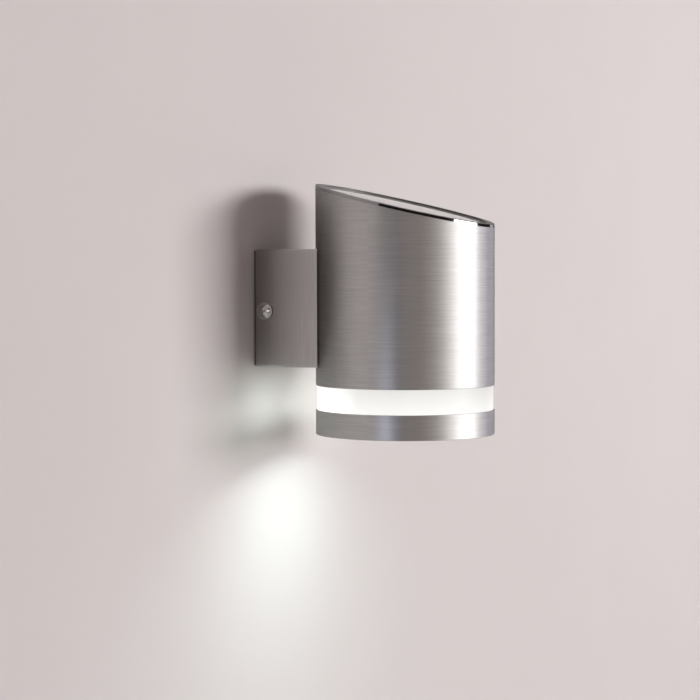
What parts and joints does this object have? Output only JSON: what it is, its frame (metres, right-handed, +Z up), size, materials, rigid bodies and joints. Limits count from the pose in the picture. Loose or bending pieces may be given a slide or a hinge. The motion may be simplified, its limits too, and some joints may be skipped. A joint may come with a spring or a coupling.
{
  "type": "tube wall light",
  "caption": "Wall light: upright brushed steel tube on a square box bracket, slanted solar panel on top, glowing ring near the lower end and a lens that shines down.",
  "frame": {"origin": "on the wall, at the middle of the wall plate's two slots, behind the middle of the box bracket", "axes": "+Z up, +Y into the wall, +X along the wall to the right of someone who faces it; the tube stands out towards -Y"},
  "size_m": [0.076, 0.0975, 0.1068],
  "materials": {
    "zinc_plate": "bright zinc-plated sheet",
    "brushed_bracket": "stainless steel, brushed upright",
    "black_foam": "closed-cell foam",
    "steel_screw": "stainless steel, turned",
    "black_rubber": "smooth rubber",
    "brushed_tube": "stainless steel, brushed round the tube",
    "frosted_ring": "frosted acrylic, lit from inside",
    "white_plastic": "moulded white plastic",
    "brass_insert": "knurled brass",
    "white_board": "white-lacquered aluminium board",
    "light_chip": "light-emitting chip under clear resin",
    "frosted_base": "frosted acrylic, lit from inside",
    "satin_lens": "satin acrylic, lit from inside",
    "clear_silicone": "translucent silicone",
    "black_lead": "black cable sheath",
    "polished_rim": "polished metal",
    "clear_glass": "clear low-iron glass",
    "dark_cell": "dark blue silicon",
    "silver_ribbon": "tinned ribbon",
    "green_board": "green circuit board",
    "black_plastic": "moulded black plastic, fine texture",
    "battery_wrap": "plain green battery sleeve",
    "nickel_strip": "nickel-plated spring steel",
    "black_part": "black component"
  },
  "bodies": {
    "wall_plate": {"wall_plate": "zinc_plate"},
    "lamp_head": {"bracket_box": "brushed_bracket", "wall_seal": "black_foam", "side_screws": "steel_screw", "side_nuts": "zinc_plate", "saddle_gasket": "black_rubber", "tube_screws": "steel_screw", "tube_washers": "steel_screw", "upper_tube": "brushed_tube", "diffuser_ring": "frosted_ring", "bottom_ring": "brushed_tube", "chassis": "white_plastic", "thread_inserts": "brass_insert", "lamp_board": "white_board", "centre_light": "light_chip", "ring_lights": "light_chip", "board_screws": "steel_screw", "base_plate": "frosted_base", "base_screws": "steel_screw", "lens": "satin_lens", "lens_seal": "clear_silicone", "lead_plug": "white_plastic", "lamp_lead": "black_lead"},
    "solar_module": {"bezel": "polished_rim", "module_seal": "black_rubber", "panel_glass": "clear_glass", "solar_cells": "dark_cell", "cell_ribbons": "silver_ribbon", "panel_board": "green_board", "carrier": "black_plastic", "carrier_screws": "steel_screw", "batteries": "battery_wrap", "contact_plates": "nickel_strip", "battery_springs": "nickel_strip", "control_board": "green_board", "board_parts": "black_part", "switch_body": "black_part", "module_socket": "white_plastic", "panel_wires": "black_lead"},
    "switch_slider": {"switch_slider": "white_plastic"},
    "battery_door": {"battery_door": "black_plastic", "door_screws": "steel_screw"}
  },
  "joints": [
    {"name": "head_off_plate", "type": "slide", "parent": "wall_plate", "child": "lamp_head", "axis": [0, -1, 0], "range_m": [0, 0.03]},
    {"name": "module_lift", "type": "slide", "parent": "lamp_head", "child": "solar_module", "axis": [0, 0, 1], "range_m": [0, 0.05]},
    {"name": "switch_slide", "type": "slide", "parent": "solar_module", "child": "switch_slider", "axis": [1, 0, 0], "range_m": [0, 0.0024]},
    {"name": "battery_door_drop", "type": "slide", "parent": "solar_module", "child": "battery_door", "axis": [0, 0, -1], "range_m": [0, 0.012]}
  ]
}
